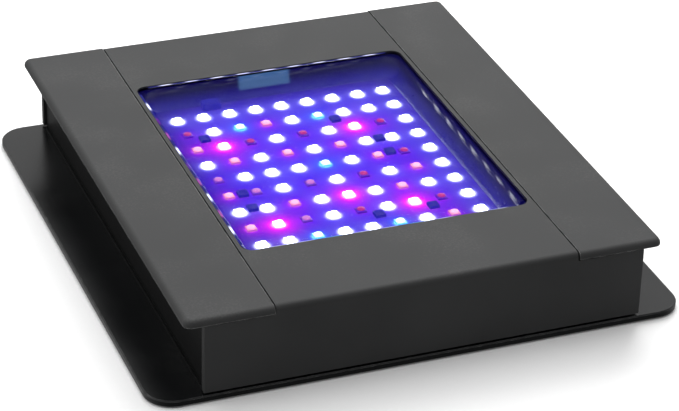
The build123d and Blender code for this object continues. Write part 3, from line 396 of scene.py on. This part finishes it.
def led_places(name):
    """The middles of one node's LEDs, on the board's top."""
    corners = np.array([vertex.co[:2] for vertex in nodes[name].data.vertices])
    steps = np.unique(np.round(corners / pitch).astype(int), axis=0)
    return [Vector((x * pitch[0], y * pitch[1], foot)) for x, y in steps]


places = {name: led_places(name) for name in LED_KINDS}
print({name: len(spots) for name, spots in places.items()}, "pitch", (pitch / MM).round(2), "mm")

# %% [markdown]
# ## LED lamps
#
# An LED package is a small white ceramic tile with a clear dome. Lit, the whole package glares, and the dim
# red ones show their dome as a ring with a spark in it. Geometry Nodes build one LED from named sizes and
# stand a copy on each point, then the copies are made real.

# %% LED geometry
def glow_material(name, core, rim, strength, dark_rim=0.0):
    """An emitting finish: its core colour where it faces up, its rim colour towards the sides."""
    material = bpy.data.materials.new(name)
    material.use_nodes = True
    tree = material.node_tree
    principled = tree.nodes["Principled BSDF"]
    clouds = place(tree, grain_group, fine_size=0.25 * MM, broad_size=1.5 * MM)
    up = add(tree, "ShaderNodeSeparateXYZ", {0: add(tree, "ShaderNodeNewGeometry").outputs["Normal"]})
    facing = ranged(tree, up.outputs["Z"], dark_rim, 0.9, smooth=True)
    colour = mixed(tree, facing, (*rim, 1.0), (*core, 1.0))
    colour = mixed(tree, ranged(tree, clouds["Broad"], 0.3, 0.7, 0.0, 0.25), colour, (*rim, 1.0))
    feed(tree, colour, principled.inputs["Emission Color"])
    principled.inputs["Emission Strength"].default_value = strength
    feed(tree, mixed(tree, clouds["Fine"], (0.010, 0.010, 0.014, 1.0), (0.018, 0.018, 0.024, 1.0)),
         principled.inputs["Base Color"])
    feed(tree, ranged(tree, clouds["Fine"], 0.3, 0.7, 0.12, 0.22), principled.inputs["Roughness"])
    principled.inputs["Specular IOR Level"].default_value = 0.02
    return material


def geometry_tree(name, inputs):
    """A Geometry Nodes tree with named inputs: (tree, its inputs, its output node)."""
    tree = bpy.data.node_groups.new(name, "GeometryNodeTree")
    tree.interface.new_socket("Geometry", in_out="INPUT", socket_type="NodeSocketGeometry")
    for label, value in inputs.items():
        kind = "NodeSocketMaterial" if value is None else "NodeSocketFloat"
        socket = tree.interface.new_socket(label, in_out="INPUT", socket_type=kind)
        if value is not None:
            socket.default_value = value
    tree.interface.new_socket("Geometry", in_out="OUTPUT", socket_type="NodeSocketGeometry")
    entry, exit_node = tree.nodes.new("NodeGroupInput"), tree.nodes.new("NodeGroupOutput")
    return tree, entry.outputs, exit_node


led_tree, given, given_out = geometry_tree("led array", {
    "Side": 3.5 * MM, "Base height": 0.7 * MM, "Dome radius": 1.55 * MM, "Dome rise": 0.85 * MM,
    "Sink": 0.1 * MM, "Package finish": None, "Dome finish": None})
tile_high = sums(led_tree, "ADD", given["Base height"], given["Sink"])
tile = add(led_tree, "GeometryNodeMeshCube", {"Size": add(led_tree, "ShaderNodeCombineXYZ", {
    "X": given["Side"], "Y": given["Side"], "Z": tile_high}).outputs[0]})
faces_up = add(led_tree, "FunctionNodeCompare", {"A": add(led_tree, "ShaderNodeSeparateXYZ", {
    0: add(led_tree, "GeometryNodeInputNormal").outputs[0]}).outputs["Z"], "B": 0.5},
    operation="GREATER_THAN")
rim = add(led_tree, "GeometryNodeExtrudeMesh", {
    "Mesh": tile.outputs[0], "Selection": faces_up.outputs[0], "Offset Scale": 0.12 * MM}, mode="FACES")
lid = add(led_tree, "GeometryNodeScaleElements", {
    "Geometry": rim.outputs[0], "Selection": rim.outputs["Top"], "Scale": 0.88}, domain="FACE")
tile_up = add(led_tree, "GeometryNodeTransform", {"Geometry": lid.outputs[0], "Translation": add(
    led_tree, "ShaderNodeCombineXYZ", {"Z": sums(led_tree, "SUBTRACT", sums(
        led_tree, "MULTIPLY", tile_high, 0.5), given["Sink"])}).outputs[0]})
ball = add(led_tree, "GeometryNodeMeshUVSphere", {"Segments": 20, "Rings": 12, "Radius": 1.0})
squeeze = add(led_tree, "ShaderNodeCombineXYZ", {
    "X": given["Dome radius"], "Y": given["Dome radius"], "Z": given["Dome rise"]})
cap = add(led_tree, "GeometryNodeTransform", {"Geometry": ball.outputs[0], "Scale": squeeze.outputs[0]})
spot = add(led_tree, "ShaderNodeSeparateXYZ", {0: add(led_tree, "GeometryNodeInputPosition").outputs[0]})
flat = add(led_tree, "GeometryNodeSetPosition", {"Geometry": cap.outputs[0], "Position": add(
    led_tree, "ShaderNodeCombineXYZ", {"X": spot.outputs["X"], "Y": spot.outputs["Y"], "Z": sums(
        led_tree, "MAXIMUM", spot.outputs["Z"], -0.15 * MM)}).outputs[0]})
dome_up = add(led_tree, "GeometryNodeTransform", {"Geometry": flat.outputs[0], "Translation": add(
    led_tree, "ShaderNodeCombineXYZ", {"Z": given["Base height"]}).outputs[0]})
dome_smooth = add(led_tree, "GeometryNodeSetShadeSmooth", {"Geometry": dome_up.outputs[0]})
whole = add(led_tree, "GeometryNodeJoinGeometry")
for part, used in ((tile_up, "Package finish"), (dome_smooth, "Dome finish")):
    stood = add(led_tree, "GeometryNodeInstanceOnPoints", {
        "Points": given["Geometry"], "Instance": part.outputs[0]})
    real = add(led_tree, "GeometryNodeRealizeInstances", {"Geometry": stood.outputs[0]})
    dressed = add(led_tree, "GeometryNodeSetMaterial", {"Geometry": real.outputs[0], "Material": given[used]})
    led_tree.links.new(dressed.outputs[0], whole.inputs[0])
feed(led_tree, whole.outputs[0], given_out.inputs["Geometry"])
print("geometry tree:", led_tree.name, len(led_tree.nodes), "nodes")

# %% Run a geometry tree into a plain mesh
def grown(name, points, tree, body, **values):
    """The mesh that a Geometry Nodes tree makes from points, as a plain piece riding on a body."""
    seed = bpy.data.meshes.new(name + " points")
    seed.from_pydata([tuple(point) for point in points], [], [])
    carrier = bpy.data.objects.new(name + " carrier", seed)
    bpy.context.scene.collection.objects.link(carrier)
    modifier = carrier.modifiers.new("tree", "NODES")
    modifier.node_group = tree
    sockets = {item.name: item.identifier for item in tree.interface.items_tree if item.in_out == "INPUT"}
    for label, value in values.items():
        modifier[sockets[label.replace("_", " ").capitalize()]] = value
    made = bpy.data.meshes.new_from_object(carrier.evaluated_get(bpy.context.evaluated_depsgraph_get()))
    made.name = name
    bpy.data.objects.remove(carrier)
    piece = bpy.data.objects.new(name, made)
    bpy.context.scene.collection.objects.link(piece)
    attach(piece, body)
    print(name, len(made.polygons), "faces")
    return piece


# %% LED colours
LED_LOOKS = {   # dome core, dome rim and strength, then package core, package rim and strength
    "white_leds": ((1.0, 1.0, 1.0), (0.90, 0.94, 1.0), 14.0, (1.0, 1.0, 1.0), (0.86, 0.90, 1.0), 7.0),
    "pink_leds": ((1.0, 0.42, 0.60), (1.0, 0.28, 0.50), 1.5, (1.0, 0.34, 0.62), (0.55, 0.10, 0.62), 0.95),
    "violet_leds": ((0.75, 0.25, 0.75), (0.45, 0.08, 0.60), 0.9, (0.26, 0.05, 0.80), (0.12, 0.02, 0.60), 0.8),
    "deep_red_leds": ((1.0, 1.0, 0.97), (1.0, 0.84, 0.90), 8.0, (1.0, 0.86, 0.92), (1.0, 0.50, 0.72), 4.0),
    "red_leds": ((0.75, 0.03, 0.32), (0.16, 0.0, 0.40), 0.8, (0.18, 0.01, 0.80), (0.08, 0.0, 0.60), 0.8),
    "cyan_leds": ((0.75, 1.0, 0.97), (0.50, 0.95, 1.0), 3.0, (0.45, 0.90, 1.0), (0.10, 0.50, 1.0), 1.4),
}
for name, (core, rim, strength, tile_core, tile_rim, tile_strength) in LED_LOOKS.items():
    piece = grown(name + "_lit", places[name], led_tree, "housing",
                  package_finish=glow_material(name + " package", tile_core, tile_rim, tile_strength),
                  dome_finish=glow_material(name + " dome", core, rim, strength, dark_rim=0.2))
    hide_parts(name)

# %% [markdown]
# ## The light board
#
# The board under the LEDs is a dark blue laminate, flooded with their light, which is painted on as glow. Its
# top is a fine grid whose corners each carry the painted light that reaches them: a blue wash from all the
# LEDs together, and round each one a halo of its own colour that falls off with distance. The wash and halos
# are worked out here from the LED places, so they follow the board and not the camera.

# %% Painted light on the board
PAINTED_BLOOM = {   # painted glare close to the LED, its radius in millimetres, then the colour and the reach of its painted halo
    "white_leds": ((2.8, 2.9, 3.3), 2.5, (0.24, 0.26, 0.40), 3.9),
    "pink_leds": ((0.95, 0.16, 0.50), 1.9, (0.34, 0.0, 0.22), 4.4),
    "violet_leds": ((0.24, 0.02, 0.45), 1.8, (0.09, 0.0, 0.14), 3.6),
    "deep_red_leds": ((3.0, 1.4, 2.0), 2.3, (2.0, 0.0, 0.60), 5.4),
    "red_leds": ((0.30, 0.0, 0.24), 1.9, (0.15, 0.0, 0.10), 3.8),
    "cyan_leds": ((0.50, 2.0, 2.6), 2.05, (0.0, 0.30, 0.62), 3.8),
}
PAINTED_WASH = (0.050, 0.000, 0.80)      # painted light of all the LEDs together, in the middle of the board
PAINTED_GLOOM = (0.003, 0.002, 0.070)    # painted light that reaches the far margins
WASH_REACH = 12.0                # millimetres
BOARD_STEP = 0.55 * MM           # the grid that carries the light


def painted_light_at(points):
    """The painted light that reaches points on the board, red, green and blue."""
    total = np.zeros((len(points), 3))
    wash = np.zeros(len(points))
    for name, spots in places.items():
        glare, radius, halo, reach = PAINTED_BLOOM[name]
        for spot in spots:
            away = np.hypot(points[:, 0] - spot[0], points[:, 1] - spot[1]) / MM
            total += np.outer(np.exp(-(away / radius) ** 4), glare)
            total += np.outer((1 + (away / reach) ** 2) ** -2.0, halo)
            wash += (1 + (away / WASH_REACH) ** 2) ** -2.0
    return total + np.outer(wash / wash.max(), PAINTED_WASH) + np.array(PAINTED_GLOOM)


def lit_slab(low, high, step, light):
    """A closed slab with a fine grid on top: its corners, its faces and the painted light on each corner."""
    across, deep = (max(1, round((high[axis] - low[axis]) / step)) for axis in (0, 1))
    xs = np.linspace(low[0], high[0], across + 1)
    ys = np.linspace(low[1], high[1], deep + 1)
    corners = [(x, y, high[2]) for y in ys for x in xs]
    row = across + 1
    faces = [(r * row + c, r * row + c + 1, (r + 1) * row + c + 1, (r + 1) * row + c)
             for r in range(deep) for c in range(across)]
    first = len(corners)
    corners += [(x, y, low[2]) for x, y in (
        (low[0], low[1]), (high[0], low[1]), (high[0], high[1]), (low[0], high[1]))]
    front, back = list(range(row)), [deep * row + c for c in range(row)]
    left, right = [r * row for r in range(deep + 1)], [r * row + across for r in range(deep + 1)]
    faces += [tuple([first, first + 1] + front[::-1]), tuple([first + 1, first + 2] + right[::-1]),
              tuple([first + 2, first + 3] + back), tuple([first + 3, first] + left),
              (first + 3, first + 2, first + 1, first)]
    return corners, faces, light(np.array(corners))


def lit_piece(name, slabs):
    """One piece made of such slabs, with their painted light stored on it."""
    corners, faces, light = [], [], []
    for slab_corners, slab_faces, slab_light in slabs:
        faces += [tuple(len(corners) + index for index in face) for face in slab_faces]
        corners += slab_corners
        light.append(slab_light)
    mesh = bpy.data.meshes.new(name)
    mesh.from_pydata(corners, [], faces)
    light = np.vstack(light)
    paint = mesh.color_attributes.new("light", "FLOAT_COLOR", "POINT")
    paint.data.foreach_set("color", np.hstack([light, np.ones((len(light), 1))]).astype(np.float32).ravel())
    piece = bpy.data.objects.new(name, mesh)
    bpy.context.scene.collection.objects.link(piece)
    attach(piece, "housing")
    print(name, len(mesh.polygons), "faces")
    return piece


def board_finish():
    """Dark laminate with faint copper under the mask, and the LEDs' light painted on it as glow, mottled by
    that copper.
    """
    material = finish("lit board", (0.004, 0.005, 0.020), (0.008, 0.009, 0.030), (0.30, 0.45),
                      grain=(0.3, 10.0, 1.0), bump=0.2, Specular_IOR_Level=0.0)
    tree = material.node_tree
    principled = tree.nodes["Principled BSDF"]
    light = add(tree, "ShaderNodeVertexColor", layer_name="light").outputs["Color"]
    clouds = place(tree, grain_group, fine_size=0.6 * MM, broad_size=5 * MM)
    patch = ranged(tree, clouds["Broad"], 0.3, 0.7, 0.82, 1.12)
    speck = ranged(tree, clouds["Fine"], 0.3, 0.7, 0.9, 1.08)
    shine = mixed(tree, 1.0, light, add(tree, "ShaderNodeCombineColor", {
        "Red": sums(tree, "MULTIPLY", patch, speck), "Green": sums(tree, "MULTIPLY", patch, speck),
        "Blue": speck}).outputs[0], blend="MULTIPLY")
    feed(tree, shine, principled.inputs["Emission Color"])
    principled.inputs["Emission Strength"].default_value = 1.0
    return material


board_lit_finish = board_finish()
board_low, board_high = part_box("led_board")
board = lit_piece("led_board_lit", [lit_slab(board_low, board_high, BOARD_STEP, painted_light_at)])
board.data.materials.append(board_lit_finish)
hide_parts("led_board")

# %% [markdown]
# ## Painted light in the edge of the lens
#
# A clear sheet leads light to its edges. Opposite each LED of the outer rows the rim of the lens glows in
# that LED's colour, so the window has a dashed bright line along its left, back and front edges. That glow is
# painted: three thin bars just above the lens carry those dashes, each in line with the nearest LEDs.

# %% Painted glow in the lens edge
RIM_REACH = 17 * MM      # only LEDs this near to an edge light it


def painted_rim_light(axis, strength, length):
    """The painted light along one edge of the lens: a dash opposite each near LED. Axis 0 runs along X."""
    def light(points):
        total = np.full((len(points), 3), (0.02, 0.02, 0.20))
        across = 1 - axis
        for name, spots in places.items():
            colour = np.array(PAINTED_BLOOM[name][0]) * strength
            for spot in spots:
                if abs(spot[across] - points[0, across]) < RIM_REACH:
                    away = (points[:, axis] - spot[axis]) / MM / length
                    total += np.outer(np.exp(-away ** 4), colour)
        return total
    return light


lens_low, lens_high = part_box("window_lens")
RIM_INSET, RIM_CORNER = 0.15 * MM, 5.0 * MM     # from the lens's edge, and from its corners
RIM_STEP = 0.4 * MM
LEFT_WIDE, BACK_WIDE, FRONT_WIDE = 0.75 * MM, 0.55 * MM, 0.35 * MM
rim_low, rim_high = lens_high.z + 0.02 * MM, lens_high.z + 0.12 * MM
left, front, back = lens_low.x + RIM_INSET, lens_low.y + RIM_INSET, lens_high.y - RIM_INSET
x_ends = lens_low.x + RIM_CORNER, lens_high.x - RIM_CORNER
y_ends = lens_low.y + RIM_CORNER, lens_high.y - RIM_CORNER
RIMS = (    # two corners seen from above, the axis it runs along, strength, length of a dash in millimetres
    ((left, y_ends[0]), (left + LEFT_WIDE, y_ends[1]), 1, 0.50, 2.6),
    ((x_ends[0], back - BACK_WIDE), (x_ends[1], back), 0, 0.40, 2.4),
    ((x_ends[0], front), (x_ends[1], front + FRONT_WIDE), 0, 0.25, 3.0),
)
rims = [lit_slab((*start, rim_low), (*end, rim_high), RIM_STEP, painted_rim_light(axis, strength, length))
        for start, end, axis, strength, length in RIMS]
painted_lens_rim = lit_piece("lens_edge_painted_glow", rims)
painted_lens_rim.data.materials.append(board_lit_finish)

# %% [markdown]
# ## Dressing the CAD pieces
#
# Each CAD node that stays on show gets the finish of its slot.

# %% Finishes on the CAD pieces
for name, node in nodes.items():
    for index, used in enumerate(node.data.materials):
        if used and used.name.split(".")[0] in finishes:
            node.data.materials[index] = finishes[used.name.split(".")[0]]
print("dressed:", sum(1 for node in nodes.values() if node.data.materials[0] in finishes.values()), "pieces")

# %% [markdown]
# ## Studio
#
# A plain pale floor, a bright soft ceiling and a darker front make black metal readable: its upper faces
# mirror the ceiling, while the walls stay dark. The camera itself sees plain white behind the lamp.

# %% Studio
floor_mesh = bpy.data.meshes.new("floor")
FLOOR = 6.0
FLOOR_Z = -0.2 * MM       # a hair under the plate, so that the two faces don't share a plane
floor_mesh.from_pydata([(x, y, FLOOR_Z) for x, y in (
    (-FLOOR, -FLOOR), (FLOOR, -FLOOR), (FLOOR, FLOOR), (-FLOOR, FLOOR))], [], [(0, 1, 2, 3)])
floor = bpy.data.objects.new("floor", floor_mesh)
bpy.context.scene.collection.objects.link(floor)
paper = finish("floor paper", grey(0.90), grey(0.92), (0.8, 0.9), grain=(2.0, 200.0, 1.0), bump=0.05,
               Specular_IOR_Level=0.1)
tree = paper.node_tree      # clear from below, so that the plate's underside can be looked at
clear = add(tree, "ShaderNodeMixShader", {
    0: add(tree, "ShaderNodeNewGeometry").outputs["Backfacing"],
    1: tree.nodes["Principled BSDF"].outputs[0],
    2: add(tree, "ShaderNodeBsdfTransparent").outputs[0]})
feed(tree, clear.outputs[0], tree.nodes["Material Output"].inputs["Surface"])
floor.data.materials.append(paper)
floor.visible_glossy = False

world = bpy.data.worlds.new("studio")
bpy.context.scene.world = world
world.use_nodes = True
tree = world.node_tree
backdrop = tree.nodes["Background"]
direction = add(tree, "ShaderNodeTexCoord").outputs["Generated"]
parts = add(tree, "ShaderNodeSeparateXYZ", {0: direction}).outputs
height = ranged(tree, parts["Z"], -0.15, 0.55, 0.42, 1.0, smooth=True)
front = ranged(tree, parts["Y"], -0.9, 0.3, 0.28, 1.0, smooth=True)
seen = add(tree, "ShaderNodeLightPath").outputs["Is Camera Ray"]
level = sums(tree, "MULTIPLY", height, front)
level = sums(tree, "ADD", sums(tree, "MULTIPLY", seen, 1.2),
             sums(tree, "MULTIPLY", sums(tree, "SUBTRACT", 1.0, seen), level))
feed(tree, level, backdrop.inputs["Strength"])
backdrop.inputs["Color"].default_value = (1.0, 1.0, 1.0, 1.0)


def soft_box(name, where, aim, size, power):
    """A square area light at a place, turned to an aim."""
    lamp = bpy.data.lights.new(name, "AREA")
    lamp.size, lamp.energy = size, power
    box = bpy.data.objects.new(name, lamp)
    box.matrix_world = Matrix.Translation(where) @ (
        Vector(aim) - Vector(where)).to_track_quat("-Z", "Y").to_matrix().to_4x4()
    bpy.context.scene.collection.objects.link(box)
    return box


soft_box("ceiling light", (0.0, 0.35, 1.5), (0.0, 0.0, 0.0), 1.8, 11.0)
back_light = soft_box("back light", (0.22, 0.42, 0.34), (0.0, 0.06, 0.0), 0.5, 4.4)
back_light.visible_glossy = False     # it lights the sheets but leaves no sheen on the window
soft_box("edge light", (-0.75, 0.1, 0.30), (-0.09, 0.0, 0.03), 0.4, 0.35)
